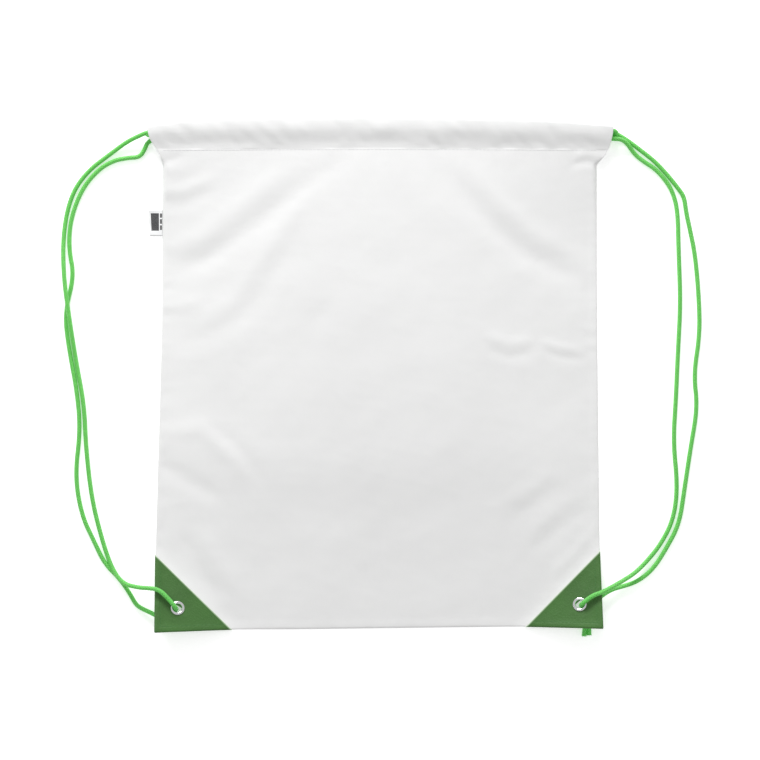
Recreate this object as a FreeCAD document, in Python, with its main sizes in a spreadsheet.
import FreeCAD, Part
import math
import os

import Sketcher
from FreeCAD import Placement, Rotation, Vector

# Drawstring backpack lying flat on its back, in millimetres. +Z is up, +Y runs towards the mouth of the
# bag, and the origin is on the floor in the middle of the bag's outline.

SIZES = {
    # cloth and how the two panels lie on each other
    "cloth": 0.5,
    "front_level": 0.6,
    "patch_cloth": 0.6,
    "front_patch_level": 1.12,
    "back_patch_level": -0.62,
    # outline of the bag, seen from above
    "left_top_x": -176.3,
    "left_mid_x": -176.6,
    "left_corner_x": -182.4,
    "right_top_x": 174.7,
    "right_mid_x": 175.2,
    "right_corner_x": 179.4,
    "mid_y": 40.0,
    "left_corner_y": -205.0,
    "right_corner_y": -202.0,
    # cord tunnel along the mouth
    "mouth_half": 187.0,
    "hem_stitch_y": 183.0,
    "hem_seam": 1.5,
    "hem_top_y": 205.0,
    "hem_deep": 5.1,
    "front_hem_level": 5.3,
    "flare_left_y": 197.5,
    "flare_right_y": 190.0,
    "flare_left_x": -177.5,
    "flare_right_x": 175.5,
    "arch_radius": 2500.0,
    # arched front panel: half width, foot height and crown height of its sections
    "arch_half": 175.5,
    "foot_level": 0.6,
    "arch_start_y": 184.2,
    "mouth_foot": 6.9,
    "mouth_crown": 13.1,
    "throat_y": 170.0,
    "throat_crown": 11.5,
    "belly_y": 20.0,
    "belly_crown": 11.0,
    "lap_y": -70.0,
    "lap_crown": 8.5,
    "flat_y": -120.0,
    "arch_end_y": -125.0,
    "panel_lap": 0.5,
    "arch_end_foot": 0.7,
    "arch_end_crown": 0.9,
    # lower corners: each tips up over its cord knot, about a fold across the corner
    "flap_leg": 64.0,
    "flap_tilt": 21.5,
    "patch_leg": 61.0,
    "eyelet_inset": 26.1,
    "eyelet_hole": 3.85,
    # eyelet and the washer behind it
    "eyelet_bore": 3.25,
    "eyelet_wall": 0.45,
    "eyelet_rim": 5.75,
    "eyelet_height": 1.0,
    "eyelet_brim": 0.35,
    "eyelet_gap": 0.05,
    "eyelet_flare": 1.3,
    "rim_edge": 0.5,
    "rim_top": 1.2,
    "washer_bore": 3.75,
    "washer_deep": 0.85,
    "washer_edge": 0.4,
    "washer_gap": 0.03,
    # label in the left side seam
    "label_x": -187.0,
    "label_root_x": -177.9,
    "label_low_y": 114.3,
    "label_long": 21.3,
    "label_deep": 0.9,
    "label_level": 0.3,
    "ribbon": 0.3,
    "label_fold": 0.6,
    # sewing
    "thread": 0.5,
    "seam_inset": 3.0,
    "hem_thread_inset": 0.4,
    "hem_thread_sunk": 0.25,
    "hem_thread_proud": 0.25,
    "back_hem_thread_proud": 0.13,
    "hem_thread_end": 1.0,
    "seam_taper": 5.0,
    "seam_top_gap": 4.0,
    "seam_low_gap": 2.0,
    "side_thread_deep": 1.6,
    "bottom_thread_deep": 1.1,
    "patch_thread_lift": 0.25,
    "patch_thread_end": 2.0,
    "patch_thread_deep": 2.3,
    # cuts that shape the ends of the hem
    "flare_beyond": 5.0,
    "flare_below": 1.0,
    # cord
    "cord_radius": 1.75,
    "knot_long": 6.0,
    "knot_wide": 5.5,
    "knot_high": 4.7,
}

doc = FreeCAD.newDocument("DrawstringBackpack")
sheet = doc.addObject("Spreadsheet::Sheet", "Sizes")
for row, (alias, number) in enumerate(SIZES.items(), start=1):
    sheet.set(f"A{row}", alias)
    sheet.set(f"B{row}", str(number))
    sheet.setAlias(f"B{row}", alias)
doc.recompute()

nodes = []
PARAM = "Sizes."


def size(alias):
    """A driving dimension, read from the sheet."""
    return float(sheet.get(alias))


# ---------------------------------------------------------------- sketches and bodies


def new_body(label, placement=None):
    body = doc.addObject("PartDesign::Body", label)
    body.Label = label
    if placement is not None:
        body.Placement = placement
    nodes.append(body)
    return body


def new_sketch(body, name, role, offset=None):
    """A sketch on one of the body's own origin planes, moved by offset."""
    sketch = body.newObject("Sketcher::SketchObject", name)
    plane = next(feature for feature in body.Origin.OriginFeatures if feature.Role == role)
    sketch.AttachmentSupport = (plane, [""])
    sketch.MapMode = "FlatFace"
    sketch.AttachmentOffset = offset or Placement()
    return sketch


def bind(sketch, kind, *args, expression):
    """A dimension of the sketch, bound to the sheet."""
    index = sketch.addConstraint(Sketcher.Constraint(kind, *args))
    sketch.setExpression(f"Constraints[{index}]", expression)


def pin(sketch, edge, end, x, y):
    """Places one end of an edge at x, y: two expressions of the sheet."""
    point = sketch.getPoint(edge, end)
    bind(sketch, "DistanceX", -1, 1, edge, end, point.x, expression=x)
    bind(sketch, "DistanceY", -1, 1, edge, end, point.y, expression=y)


# Radius of the ring that a polygon is first drawn on, before its corners are placed.
GUESS_RADIUS = 50


def outline(sketch, corners):
    """A closed polygon whose corners are pairs of expressions."""
    first = sketch.GeometryCount
    count = len(corners)
    guess = [
        Vector(math.cos(2 * math.pi * i / count), math.sin(2 * math.pi * i / count), 0) * GUESS_RADIUS
        for i in range(count)
    ]
    for i in range(count):
        sketch.addGeometry(Part.LineSegment(guess[i], guess[(i + 1) % count]), False)
    for i, (x, y) in enumerate(corners):
        edge = first + i
        following = first + (i + 1) % count
        sketch.addConstraint(Sketcher.Constraint("Coincident", edge, 2, following, 1))
        pin(sketch, edge, 1, x, y)


def round_hole(sketch, x, y, radius):
    edge = sketch.addGeometry(Part.Circle(Vector(1, 1, 0), Vector(0, 0, 1), 2), False)
    pin(sketch, edge, 3, x, y)
    bind(sketch, "Radius", edge, 2, expression=radius)


def pad(body, sketch, name, length, midplane=False):
    """Extrudes the sketch. length is an expression."""
    feature = body.newObject("PartDesign::Pad", name)
    feature.Profile = sketch
    feature.Midplane = midplane
    feature.setExpression("Length", length)
    body.Tip = feature
    return feature


def cut_up(body, sketch, name):
    """Cuts everything above the sketch, and checks that it did."""
    doc.recompute()
    volume = body.Shape.Volume
    feature = body.newObject("PartDesign::Pocket", name)
    feature.Profile = sketch
    feature.Type = "ThroughAll"
    feature.Reversed = True
    body.Tip = feature
    doc.recompute()
    if not body.Shape.Volume < volume - 1:
        raise RuntimeError(f"{body.Label}: {name} cuts nothing")
    return feature


def turn(body, sketch, name, axis, angle, midplane=False):
    """Revolves the sketch about one of its own axes. angle is an expression."""
    feature = body.newObject("PartDesign::Revolution", name)
    feature.Profile = sketch
    feature.ReferenceAxis = (sketch, [axis])
    feature.Midplane = midplane
    feature.setExpression("Angle", angle)
    body.Tip = feature
    return feature


# ---------------------------------------------------------------- lower corners

LEFT, RIGHT = "left", "right"
DIAGONAL = 1 / math.sqrt(2)
FLAP = f"({PARAM}flap_leg / sqrt(2))"
TIP = f"({FLAP} / cos({PARAM}flap_tilt * 1deg))"
PATCH_HALF = f"({PARAM}patch_leg / sqrt(2))"
PATCH_FOLD = f"(({FLAP} - {PATCH_HALF}) / cos({PARAM}flap_tilt * 1deg))"
EYELET_AT = f"(({FLAP} - {PARAM}eyelet_inset) / cos({PARAM}flap_tilt * 1deg))"


def corner_frame(side):
    """The tilted plane of a lower corner: origin mid fold, local y towards the tip, local z out of the
    front of the bag."""
    outward = -1 if side == LEFT else 1
    leg = size("flap_leg")
    tilt = math.radians(size("flap_tilt"))
    middle = Vector(
        size(f"{side}_corner_x") - outward * leg / 2,
        size(f"{side}_corner_y") + leg / 2,
        0,
    )
    to_tip = Vector(outward * DIAGONAL * math.cos(tilt), -DIAGONAL * math.cos(tilt), math.sin(tilt))
    along = Vector(-DIAGONAL, -outward * DIAGONAL, 0)
    normal = along.cross(to_tip)
    return Placement(middle, Rotation(along, to_tip, normal, "XYZ"))


def eyelet_frame(side):
    """The corner's frame, moved to the middle of its eyelet."""
    reach = size("flap_leg") * DIAGONAL - size("eyelet_inset")
    up_flap = reach / math.cos(math.radians(size("flap_tilt")))
    return corner_frame(side) * Placement(Vector(0, up_flap, 0), Rotation())


def lifted(frame, level):
    """The frame moved along its own normal."""
    return frame * Placement(Vector(0, 0, level), Rotation())


def add_flaps(body, level):
    """The panel's two lower corners, tipped up about their folds, each with its eyelet hole."""
    for side in (LEFT, RIGHT):
        sketch = new_sketch(body, f"{side}_flap", "XY_Plane", lifted(corner_frame(side), level))
        outline(sketch, [(f"-{FLAP}", "0"), (FLAP, "0"), ("0", TIP)])
        round_hole(sketch, "0", EYELET_AT, f"{PARAM}eyelet_hole")
        pad(body, sketch, f"{side}_flap_pad", f"{PARAM}cloth")


def flat_outline(top_y):
    """Corners of a panel up to top_y, less its two flaps."""
    p = PARAM
    return [
        (f"{p}left_corner_x", f"{p}left_corner_y + {p}flap_leg"),
        (f"{p}left_corner_x + {p}flap_leg", f"{p}left_corner_y"),
        (f"{p}right_corner_x - {p}flap_leg", f"{p}right_corner_y"),
        (f"{p}right_corner_x", f"{p}right_corner_y + {p}flap_leg"),
    ] + top_y


# ---------------------------------------------------------------- the two panels


def tube_wall(sketch, start_y, low, high, guess):
    """A closed outline from start_y out to the fold at the mouth, rounded there. guess holds the same three
    values as numbers."""
    fold = f"{PARAM}hem_top_y - {PARAM}hem_deep / 2"
    fold_y = size("hem_top_y") - size("hem_deep") / 2
    start_guess, low_guess, high_guess = guess
    bulge = fold_y + (high_guess - low_guess) / 2
    first = sketch.GeometryCount
    points = [
        Vector(start_guess, low_guess, 0),
        Vector(fold_y, low_guess, 0),
        Vector(fold_y, high_guess, 0),
        Vector(start_guess, high_guess, 0),
    ]
    round_end = Part.Arc(points[1], Vector(bulge, (low_guess + high_guess) / 2, 0), points[2])
    sketch.addGeometry(Part.LineSegment(points[0], points[1]), False)
    sketch.addGeometry(round_end, False)
    sketch.addGeometry(Part.LineSegment(points[2], points[3]), False)
    sketch.addGeometry(Part.LineSegment(points[3], points[0]), False)
    for edge in range(4):
        following = first + (edge + 1) % 4
        sketch.addConstraint(Sketcher.Constraint("Coincident", first + edge, 2, following, 1))
    pin(sketch, first, 1, start_y, low)
    pin(sketch, first, 2, fold, low)
    pin(sketch, first + 2, 1, fold, high)
    pin(sketch, first + 2, 2, start_y, high)
    bind(sketch, "DistanceX", -1, 1, first + 1, 3, fold_y, expression=fold)


def add_hem_walls(sketch, base, base_number):
    """Cross-section of a cord tunnel: cloth folded over to a flat tube. base is the height of its underside
    in the sketch, as an expression and as a number."""
    p = PARAM
    deep = size("hem_deep")
    cloth = size("cloth")
    stitch = size("hem_stitch_y")
    outside = (stitch, base_number, base_number + deep)
    inside = (stitch + size("hem_seam"), base_number + cloth, base_number + deep - cloth)
    tube_wall(sketch, f"{p}hem_stitch_y", base, f"{base} + {p}hem_deep", outside)
    tube_wall(
        sketch,
        f"{p}hem_stitch_y + {p}hem_seam",
        f"{base} + {p}cloth",
        f"{base} + {p}hem_deep - {p}cloth",
        inside,
    )


def flare_ends(body):
    """Cuts both ends of the hem back to the narrower bag below it."""
    p = PARAM
    sketch = new_sketch(body, f"{body.Label}_flare", "XY_Plane")
    for side, sign in ((LEFT, "-"), (RIGHT, "")):
        beyond = f"{sign}({p}mouth_half + {p}flare_beyond)"
        below = f"{p}hem_stitch_y - {p}flare_below"
        outline(
            sketch,
            [
                (beyond, below),
                (f"{p}flare_{side}_x", below),
                (f"{sign}{p}mouth_half", f"{p}flare_{side}_y"),
                (beyond, f"{p}flare_{side}_y"),
            ],
        )
    cut_up(body, sketch, f"{body.Label}_flare_cut")


def make_back_panel():
    p = PARAM
    body = new_body("back_panel")
    sketch = new_sketch(body, "back_outline", "XY_Plane")
    top = [
        (f"{p}right_mid_x", f"{p}mid_y"),
        (f"{p}right_top_x", f"{p}hem_stitch_y + {p}panel_lap"),
        (f"{p}left_top_x", f"{p}hem_stitch_y + {p}panel_lap"),
        (f"{p}left_mid_x", f"{p}mid_y"),
    ]
    outline(sketch, flat_outline(top))
    pad(body, sketch, "back_pad", f"{p}cloth")
    add_flaps(body, 0)
    hem = new_sketch(body, "back_hem", "YZ_Plane")
    add_hem_walls(hem, "0", 0)
    pad(body, hem, "back_hem_pad", f"2 * {p}mouth_half", midplane=True)
    flare_ends(body)


def arch_section(body, name, y, half, foot, crown):
    """Section of the arched front panel across the bag at y: a strip of cloth between two arcs."""
    sketch = new_sketch(body, name, "XZ_Plane", Placement(Vector(0, 0, -size(y)), Rotation()))
    sketch.setExpression("AttachmentOffset.Base.z", f"-{PARAM}{y}")
    width = size(half)
    p = PARAM
    rise = f"({p}{crown} - {p}{foot})"
    radius = f"({p}{half}^2 + {rise}^2) / (2 * {rise})"
    rise_number = size(crown) - size(foot)
    radius_number = (width**2 + rise_number**2) / (2 * rise_number)
    for lift, lift_number in (("0", 0), (f"{p}cloth", size("cloth"))):
        low = size(foot) + lift_number
        arc = Part.Arc(Vector(-width, low, 0), Vector(0, low + rise_number, 0), Vector(width, low, 0))
        edge = sketch.addGeometry(arc, False)
        # an arc of a sketch runs anticlockwise, so it starts at its right end
        pin(sketch, edge, 1, f"{p}{half}", f"{p}{foot} + {lift}")
        pin(sketch, edge, 2, f"-{p}{half}", f"{p}{foot} + {lift}")
        bind(sketch, "Radius", edge, radius_number, expression=radius)
    for end in (1, 2):
        line = Part.LineSegment(sketch.getPoint(0, end), sketch.getPoint(1, end))
        edge = sketch.addGeometry(line, False)
        sketch.addConstraint(Sketcher.Constraint("Coincident", edge, 1, 0, end))
        sketch.addConstraint(Sketcher.Constraint("Coincident", edge, 2, 1, end))
    return sketch


def make_front_panel():
    p = PARAM
    body = new_body("front_panel")
    sections = [
        arch_section(body, "arch_mouth", "arch_start_y", "arch_half", "mouth_foot", "mouth_crown"),
        arch_section(body, "arch_throat", "throat_y", "arch_half", "foot_level", "throat_crown"),
        arch_section(body, "arch_belly", "belly_y", "arch_half", "foot_level", "belly_crown"),
        arch_section(body, "arch_lap", "lap_y", "arch_half", "foot_level", "lap_crown"),
        arch_section(body, "arch_end", "arch_end_y", "arch_half", "arch_end_foot", "arch_end_crown"),
    ]
    loft = body.newObject("PartDesign::AdditiveLoft", "arch")
    loft.Profile = sections[0]
    loft.Sections = sections[1:]
    loft.Ruled = True
    body.Tip = loft
    level = Placement(Vector(0, 0, size("front_level")), Rotation())
    sketch = new_sketch(body, "front_outline", "XY_Plane", level)
    top = [
        (f"{p}right_corner_x", f"{p}flat_y + {p}panel_lap"),
        (f"{p}left_corner_x", f"{p}flat_y + {p}panel_lap"),
    ]
    outline(sketch, flat_outline(top))
    pad(body, sketch, "front_pad", f"{p}cloth")
    add_flaps(body, size("front_level"))
    # the tunnel is bent to the arch of the mouth, about an axis far below the floor
    arch_centre = size("front_hem_level") - math.sqrt(size("arch_radius") ** 2 - size("mouth_half") ** 2)
    hem = new_sketch(body, "front_hem", "YZ_Plane", Placement(Vector(0, arch_centre, 0), Rotation()))
    add_hem_walls(hem, f"{p}arch_radius", size("arch_radius"))
    turn(body, hem, "front_hem_bend", "H_Axis", f"2 * asin({p}mouth_half / {p}arch_radius)", midplane=True)
    flare_ends(body)


# ---------------------------------------------------------------- patches, eyelets and washers


def make_patch(side, face):
    """Coated reinforcing triangle on one face of a lower corner."""
    p = PARAM
    body = new_body(f"{side}_{face}_patch", corner_frame(side))
    level = Placement(Vector(0, 0, size(f"{face}_patch_level")), Rotation())
    sketch = new_sketch(body, f"{side}_{face}_triangle", "XY_Plane", level)
    outline(sketch, [(f"-{PATCH_HALF}", PATCH_FOLD), (PATCH_HALF, PATCH_FOLD), ("0", TIP)])
    round_hole(sketch, "0", EYELET_AT, f"{p}eyelet_hole")
    pad(body, sketch, f"{side}_{face}_patch_pad", f"{p}patch_cloth")


def make_eyelet(side):
    """Barrel through all the layers, with its rolled rim in front and its flare behind the washer."""
    p = PARAM
    body = new_body(f"{side}_eyelet", eyelet_frame(side))
    sketch = new_sketch(body, f"{side}_eyelet_section", "XZ_Plane")
    top = f"{p}front_patch_level + {p}patch_cloth"
    back = f"{p}back_patch_level - {p}washer_deep"
    outer = f"{p}eyelet_bore + {p}eyelet_wall"
    flare = f"{p}eyelet_bore + {p}eyelet_flare"
    outline(
        sketch,
        [
            (f"{p}eyelet_bore", f"{back} - {p}eyelet_brim"),
            (flare, f"{back} - {p}eyelet_brim"),
            (flare, f"{back} - {p}eyelet_gap"),
            (outer, f"{back} - {p}eyelet_gap"),
            (outer, f"{top} + {p}eyelet_gap"),
            (f"{p}eyelet_rim", f"{top} + {p}eyelet_gap"),
            (f"{p}eyelet_rim", f"{top} + {p}eyelet_brim"),
            (f"{p}eyelet_rim - {p}rim_edge", f"{top} + {p}eyelet_height * 0.85"),
            (f"{p}eyelet_rim - {p}rim_top", f"{top} + {p}eyelet_height"),
            (f"{p}eyelet_bore + {p}rim_edge", f"{top} + {p}eyelet_height * 0.8"),
            (f"{p}eyelet_bore", f"{top}"),
        ],
    )
    turn(body, sketch, f"{side}_eyelet_turned", "V_Axis", "360")


def make_washer(side):
    p = PARAM
    body = new_body(f"{side}_eyelet_washer", eyelet_frame(side))
    sketch = new_sketch(body, f"{side}_washer_section", "XZ_Plane")
    top = f"{p}back_patch_level - {p}washer_gap"
    bottom = f"{p}back_patch_level - {p}washer_deep"
    outline(
        sketch,
        [
            (f"{p}washer_bore", bottom),
            (f"{p}eyelet_rim - {p}rim_edge", bottom),
            (f"{p}eyelet_rim", f"{bottom} + {p}washer_edge"),
            (f"{p}eyelet_rim", top),
            (f"{p}washer_bore", top),
        ],
    )
    turn(body, sketch, f"{side}_washer_turned", "V_Axis", "360")


# ---------------------------------------------------------------- label and sewing


def make_label():
    """Satin ribbon folded in two, its fold outside the bag and its ends at the side seam."""
    p = PARAM
    body = new_body("side_label")
    offset = Placement(Vector(0, 0, -size("label_low_y")), Rotation())
    sketch = new_sketch(body, "label_section", "XZ_Plane", offset)
    low = f"{p}label_level"
    high = f"{p}label_level + {p}label_deep"
    outline(
        sketch,
        [
            (f"{p}label_root_x", low),
            (f"{p}label_x + {p}ribbon", low),
            (f"{p}label_x", f"{low} + {p}ribbon"),
            (f"{p}label_x", f"{high} - {p}ribbon"),
            (f"{p}label_x + {p}ribbon", high),
            (f"{p}label_root_x", high),
            (f"{p}label_root_x", f"{high} - {p}ribbon"),
            (f"{p}label_x + {p}label_fold", f"{high} - {p}ribbon"),
            (f"{p}label_x + {p}label_fold", f"{low} + {p}ribbon"),
            (f"{p}label_root_x", f"{low} + {p}ribbon"),
        ],
    )
    feature = pad(body, sketch, "label_pad", f"{p}label_long")
    feature.Reversed = True


def make_hem_threads():
    """One stitch line along each tunnel, on the edge where the folded cloth is sewn down."""
    p = PARAM
    back = new_body("back_hem_thread")
    flat = new_sketch(back, "back_hem_thread_section", "YZ_Plane")
    near = f"{p}hem_stitch_y + {p}hem_thread_inset"
    far = f"{near} + {p}thread"
    low = f"{p}hem_deep - {p}hem_thread_sunk"
    high = f"{p}hem_deep + {p}back_hem_thread_proud"
    outline(flat, [(near, low), (far, low), (far, high), (near, high)])
    pad(back, flat, "back_hem_thread_pad", f"2 * ({p}arch_half - {p}hem_thread_end)", midplane=True)

    front = new_body("front_hem_thread")
    arch_centre = size("front_hem_level") - math.sqrt(size("arch_radius") ** 2 - size("mouth_half") ** 2)
    offset = Placement(Vector(0, arch_centre, 0), Rotation())
    bent = new_sketch(front, "front_hem_thread_section", "YZ_Plane", offset)
    low = f"{p}arch_radius + {p}hem_deep - {p}hem_thread_sunk"
    high = f"{p}arch_radius + {p}hem_deep + {p}hem_thread_proud"
    outline(bent, [(near, low), (far, low), (far, high), (near, high)])
    angle = f"2 * asin(({p}arch_half - {p}hem_thread_end) / {p}arch_radius)"
    turn(front, bent, "front_hem_thread_bend", "H_Axis", angle, midplane=True)


def make_side_thread(side):
    """The seam down one side, through both panels."""
    p = PARAM
    inward = "+" if side == LEFT else "-"
    body = new_body(f"{side}_seam_thread")
    level = Placement(Vector(0, 0, size("cloth") / 2), Rotation())
    sketch = new_sketch(body, f"{side}_seam_line", "XY_Plane", level)
    mid = f"{p}{side}_mid_x {inward} {p}seam_inset"
    low = f"{p}{side}_corner_x {inward} ({p}seam_inset + {p}seam_taper)"
    line = [
        (mid, f"{p}throat_y - {p}seam_top_gap"),
        (mid, f"{p}mid_y"),
        (low, f"{p}flat_y + {p}seam_low_gap"),
    ]
    inner = [(f"{x} {inward} {p}thread", y) for x, y in reversed(line)]
    outline(sketch, line + inner)
    pad(body, sketch, f"{side}_seam_pad", f"{p}side_thread_deep")


def make_bottom_thread():
    p = PARAM
    body = new_body("bottom_seam_thread")
    level = Placement(Vector(0, 0, size("cloth") / 2), Rotation())
    sketch = new_sketch(body, "bottom_seam_line", "XY_Plane", level)
    left_x = f"{p}left_corner_x + {p}flap_leg"
    right_x = f"{p}right_corner_x - {p}flap_leg"
    left_y = f"{p}left_corner_y + {p}seam_inset"
    right_y = f"{p}right_corner_y + {p}seam_inset"
    outline(
        sketch,
        [
            (left_x, left_y),
            (right_x, right_y),
            (right_x, f"{right_y} + {p}thread"),
            (left_x, f"{left_y} + {p}thread"),
        ],
    )
    pad(body, sketch, "bottom_seam_pad", f"{p}bottom_thread_deep")


def make_patch_thread(side):
    """Stitch line along the two outer edges of a corner, through both patches and both panels."""
    p = PARAM
    body = new_body(f"{side}_patch_thread", corner_frame(side))
    base = Placement(Vector(0, 0, size("back_patch_level") + size("patch_thread_lift")), Rotation())
    sketch = new_sketch(body, f"{side}_patch_line", "XY_Plane", base)
    inset = f"{p}seam_inset * sqrt(2)"
    inner = f"({p}seam_inset + {p}thread) * sqrt(2)"
    fold = f"({PATCH_FOLD} + {p}patch_thread_end)"
    outer_x = f"({PATCH_HALF} - {inset} - {p}patch_thread_end)"
    inner_x = f"({PATCH_HALF} - {inner} - {p}patch_thread_end)"
    outline(
        sketch,
        [
            (f"-{outer_x}", fold),
            ("0", f"{TIP} - {inset}"),
            (outer_x, fold),
            (inner_x, fold),
            ("0", f"{TIP} - {inner}"),
            (f"-{inner_x}", fold),
        ],
    )
    pad(body, sketch, f"{side}_patch_thread_pad", f"{p}patch_thread_deep")


# ---------------------------------------------------------------- cords

# The largest arc that two runs allow takes this share of the shorter run.
ARC_SHARE = 0.45
# A cord's middle when it lies on the floor: its own radius.
FLOOR = SIZES["cord_radius"]
# A tube's volume may differ by this share from its section times its length.
VOLUME_SLACK = 0.01

# Outside strands, from the tunnel's mouth to the lower corner. Front strands leave the front tunnel and
# end over the corner, back strands leave the back tunnel and end behind it.
STRANDS = {
    "left_cord_front": [
        (-194, 195.5, 6.2), (-205, 191, 3.6), (-219, 180.5, FLOOR), (-237, 167, FLOOR),
        (-250.5, 148, FLOOR), (-257, 118, FLOOR), (-256, 82, 6.6), (-251, 46, 6.6),
        (-246.5, 12, FLOOR), (-240, -22, FLOOR), (-238.5, -58, FLOOR), (-234, -98, FLOOR),
        (-226, -130, FLOOR), (-218, -154, 2.0), (-208.5, -167, 5.6), (-194, -169.5, 11.6),
    ],
    "left_cord_back": [
        (-195, 178, FLOOR), (-205, 177.5, FLOOR), (-217, 175, FLOOR), (-229, 167.5, FLOOR),
        (-242, 152, FLOOR), (-251, 128, FLOOR), (-252.5, 104, FLOOR), (-248, 82, FLOOR),
        (-255.8, 52, FLOOR), (-252.5, 24, FLOOR), (-246, -10, FLOOR), (-243, -42, FLOOR),
        (-247.5, -80, FLOOR), (-242, -112, FLOOR), (-232, -133, FLOOR), (-223.5, -151, FLOOR),
        (-215, -166, FLOOR), (-205, -178, FLOOR), (-194.5, -187, 2.4),
    ],
    "right_cord_front": [
        (194, 190, 5.2), (202, 183.5, 3.0), (211, 172.5, FLOOR), (224, 166.5, FLOOR),
        (234, 152, FLOOR), (240, 132, FLOOR), (239.5, 100, FLOOR), (241.5, 60, FLOOR),
        (239, 20, FLOOR), (237.5, -18, FLOOR), (235, -52, FLOOR), (239, -88, FLOOR),
        (236, -114, FLOOR), (225, -134, FLOOR), (212, -150, 2.6), (203.5, -158.5, 6.2),
        (194, -164.5, 11.4),
    ],
    "right_cord_back": [
        (194, 195, 1.9), (205, 188.5, FLOOR), (219.5, 177, FLOOR), (233, 163.5, FLOOR),
        (244.5, 149, FLOOR), (249, 128, FLOOR), (255, 98, FLOOR), (258, 62, FLOOR),
        (258.5, 34, FLOOR), (252.5, 2, FLOOR), (256.5, -24, FLOOR), (250, -58, FLOOR),
        (244.5, -92, FLOOR), (240.5, -118, FLOOR), (229, -137, FLOOR), (218.5, -155, FLOOR),
        (207, -166.5, FLOOR), (194, -172, 2.8),
    ],
}

# Fixed stretches at the lower corners: over the patch and down through the eyelet, and in behind the
# corner, both into the knot.
CORNER_RUNS = {
    "left_cord_eyelet": [
        (-187, -169.6, 12.6), (-178, -170.6, 13.6), (-170, -178.4, 13.6), (-163.9, -186.2, 13.4),
        (-165.3, -187.9, 2.6), (-171, -194.6, 4.4),
    ],
    "left_cord_corner": [(-187.5, -190.8, 3.6), (-181, -193, 4.8), (-175.5, -194.4, 4.8)],
    "right_cord_eyelet": [
        (187, -168.2, 13.0), (179, -172.4, 14.4), (169.5, -175.8, 13.9), (160.9, -183.1, 13.5),
        (162.2, -184.9, 2.6), (167, -193, 4.6),
    ],
    "right_cord_corner": [
        (187.3, -173.4, 4.2), (179.5, -176, 5.4), (172.5, -182, 5.4), (168.5, -189.5, 5.2),
    ],
}

# The tunnels: where each cord runs in the front and the back tunnel, and where it ends outside them.
MOUTH_X = 187.6
BACK_RUN_Z = 2.55
FRONT_RUN_RISE = 2.55
TURN_X = 190.5
ARCH_RUNS = 9
TUNNELS = {
    "left_cord_tunnel": {
        "side": -1, "front_y": 198.0, "back_y": 190.5,
        "tail": [(-188.6, 190.5, 2.4), (-191, 184, 1.9)],
    },
    "right_cord_tunnel": {
        "side": 1, "front_y": 190.5, "back_y": 198.5,
        "tail": [(MOUTH_X, 198.5, BACK_RUN_Z)],
    },
}

# Knots: middle, turn about the vertical, and where each cut tail ends.
KNOTS = {
    "left_knot": {
        "middle": (-171.5, -195, 4.9), "turned": 205,
        "tails": [((-168, -197, 3.2), (-155, -199.5, 2.2)), ((-169, -193, 3.2), (-156, -193.5, 2.2))],
    },
    "right_knot": {
        "middle": (167, -194.5, 4.9), "turned": 75,
        "tails": [((165.3, -197, 3.4), (164.6, -209.2, 2.3)), ((168.9, -197, 3.4), (169.4, -208.6, 2.3))],
    },
}


def cord_route(points):
    """Straight runs joined by tangent arcs, each as large as its two runs allow. Gives the wire and the
    radii."""
    corners = [Vector(*point) for point in points]
    edges = []
    radii = []
    start = corners[0]
    for before, corner, after in zip(corners, corners[1:], corners[2:]):
        back = (before - corner).normalize()
        onward = (after - corner).normalize()
        reach = ARC_SHARE * min((before - corner).Length, (after - corner).Length)
        half_turn = (math.pi - back.getAngle(onward)) / 2
        radius = reach / math.tan(half_turn)
        entry = corner + back * reach
        leave = corner + onward * reach
        inward = (back + onward).normalize()
        middle = corner + inward * (radius / math.cos(half_turn) - radius)
        edges.append(Part.LineSegment(start, entry).toShape())
        edges.append(Part.Arc(entry, middle, leave).toShape())
        radii.append(radius)
        start = leave
    edges.append(Part.LineSegment(start, corners[-1]).toShape())
    return Part.Wire(edges), radii


def make_tube(label, points):
    """A round cord along its route. Its volume is compared with its section times its length."""
    radius = size("cord_radius")
    route, radii = cord_route(points)
    along = Vector(*points[1]) - Vector(*points[0])
    ring = Part.Wire(Part.makeCircle(radius, Vector(*points[0]), along))
    shape = route.makePipeShell([ring], True, False)
    wanted = math.pi * radius**2 * route.Length
    if abs(shape.Volume / wanted - 1) > VOLUME_SLACK:
        raise RuntimeError(f"{label}: volume {shape.Volume:.0f}, expected {wanted:.0f}")
    tube = doc.addObject("Part::Feature", label)
    tube.Shape = shape
    tube.Label = label
    nodes.append(tube)
    lowest = shape.BoundBox.ZMin
    tightest = ", ".join(f"{r:.0f}" for r in radii)
    print(f"{label}: length {route.Length:.1f}, lowest {lowest:.2f}, radii {tightest}")
    return route.Length


def tunnel_points(side, front_y, back_y, tail):
    """From the front tunnel's mouth on the cord's own side, through the front tunnel, round the far side
    seam and back through the back tunnel."""
    bend = size("arch_radius") + FRONT_RUN_RISE
    centre = size("front_hem_level") - math.sqrt(size("arch_radius") ** 2 - size("mouth_half") ** 2)
    along = [side * MOUTH_X * (1 - 2 * i / ARCH_RUNS) for i in range(ARCH_RUNS)] + [-side * TURN_X]
    points = [(x, front_y, centre + math.sqrt(bend**2 - x**2)) for x in along]
    points.append((-side * TURN_X, back_y, BACK_RUN_Z))
    return points + tail


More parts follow.
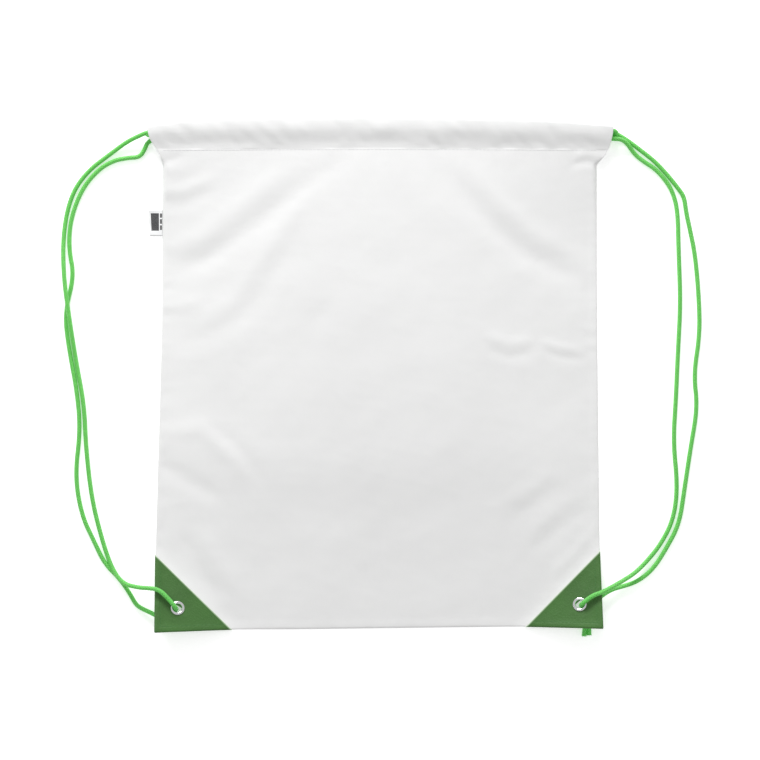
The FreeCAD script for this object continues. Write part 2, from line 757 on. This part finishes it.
def make_cords():
    total = {}
    for label, points in {**STRANDS, **CORNER_RUNS}.items():
        total[label] = make_tube(label, points)
    for label, run in TUNNELS.items():
        total[label] = make_tube(label, tunnel_points(**run))
    for side in (LEFT, RIGHT):
        whole = sum(length for label, length in total.items() if label.startswith(side))
        print(f"{side} cord, without its gaps and knot: {whole:.0f}")


def make_knot(label, middle, turned, tails):
    """The cord's two ends knotted together, with their cut tails."""
    ball = doc.addObject("Part::Ellipsoid", f"{label}_ball")
    ball.setExpression("Radius1", f"{PARAM}knot_high")
    ball.setExpression("Radius2", f"{PARAM}knot_long")
    ball.setExpression("Radius3", f"{PARAM}knot_wide")
    ball.Placement = Placement(Vector(*middle), Rotation(Vector(0, 0, 1), turned))
    pieces = [ball]
    for number, (start, end) in enumerate(tails, start=1):
        tail = doc.addObject("Part::Cylinder", f"{label}_tail_{number}")
        tail.setExpression("Radius", f"{PARAM}cord_radius")
        direction = Vector(*end) - Vector(*start)
        tail.Height = direction.Length
        tail.Placement = Placement(Vector(*start), Rotation(Vector(0, 0, 1), direction))
        pieces.append(tail)
    knot = doc.addObject("Part::MultiFuse", label)
    knot.Shapes = pieces
    knot.Label = label
    nodes.append(knot)


# ---------------------------------------------------------------- build and write

make_back_panel()
make_front_panel()
for side in (LEFT, RIGHT):
    make_patch(side, "front")
    make_patch(side, "back")
    make_eyelet(side)
    make_washer(side)
    make_side_thread(side)
    make_patch_thread(side)
make_label()
make_hem_threads()
make_bottom_thread()
make_cords()
for label, knot in KNOTS.items():
    make_knot(label, **knot)

doc.recompute()
for item in doc.Objects:
    if "Invalid" in item.State or "Error" in item.State:
        raise RuntimeError(f"{item.Label} failed: {item.State}")

os.makedirs("parts", exist_ok=True)
for node in nodes:
    shape = node.Shape
    if shape.isNull() or not shape.isValid() or shape.Volume <= 0:
        raise RuntimeError(f"{node.Label} has no valid shape")
    shape.exportStep(f"parts/{node.Label}.step")
    box = shape.BoundBox
    print(
        f"{node.Label}: solids {len(shape.Solids)}, volume {shape.Volume:.0f}, "
        f"x {box.XMin:.1f} {box.XMax:.1f}, y {box.YMin:.1f} {box.YMax:.1f}, z {box.ZMin:.2f} {box.ZMax:.2f}"
    )
print(f"{len(nodes)} nodes")
